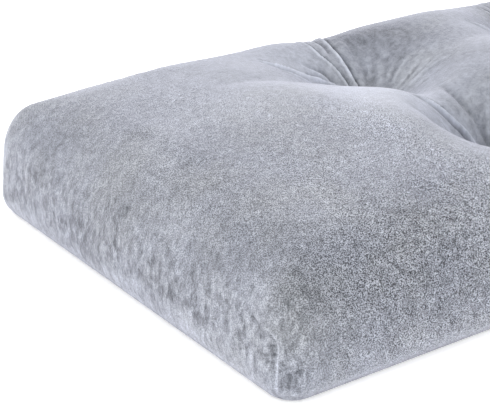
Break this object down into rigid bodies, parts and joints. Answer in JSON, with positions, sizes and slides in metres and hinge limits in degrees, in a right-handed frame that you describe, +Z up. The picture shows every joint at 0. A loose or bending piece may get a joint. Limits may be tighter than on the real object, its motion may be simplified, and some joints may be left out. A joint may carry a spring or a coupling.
{
  "type": "bench cushion",
  "caption": "Long boxed bench cushion in plush velvet with a crowned, tufted top, soft rounded edges and a flat underside.",
  "frame": {"origin": "middle of the underside, on the surface the cushion lies on", "axes": "+X along the length, +Y across the depth away from the front edge, +Z up through the tufted top"},
  "size_m": [0.9198, 0.362, 0.1052],
  "materials": {
    "velvet": "plush velvet, blue-grey, with a brushed, mottled nap",
    "twine": "waxed tufting twine in the cloth's colour"
  },
  "bodies": {
    "root": {"cushion": "velvet", "tuft_tie_1": "twine", "tuft_tie_2": "twine", "tuft_tie_3": "twine", "tuft_tie_4": "twine", "tuft_tie_5": "twine", "tuft_tie_6": "twine", "base_tie_1": "twine", "base_tie_2": "twine", "base_tie_3": "twine", "base_tie_4": "twine", "base_tie_5": "twine", "base_tie_6": "twine"}
  },
  "joints": []
}
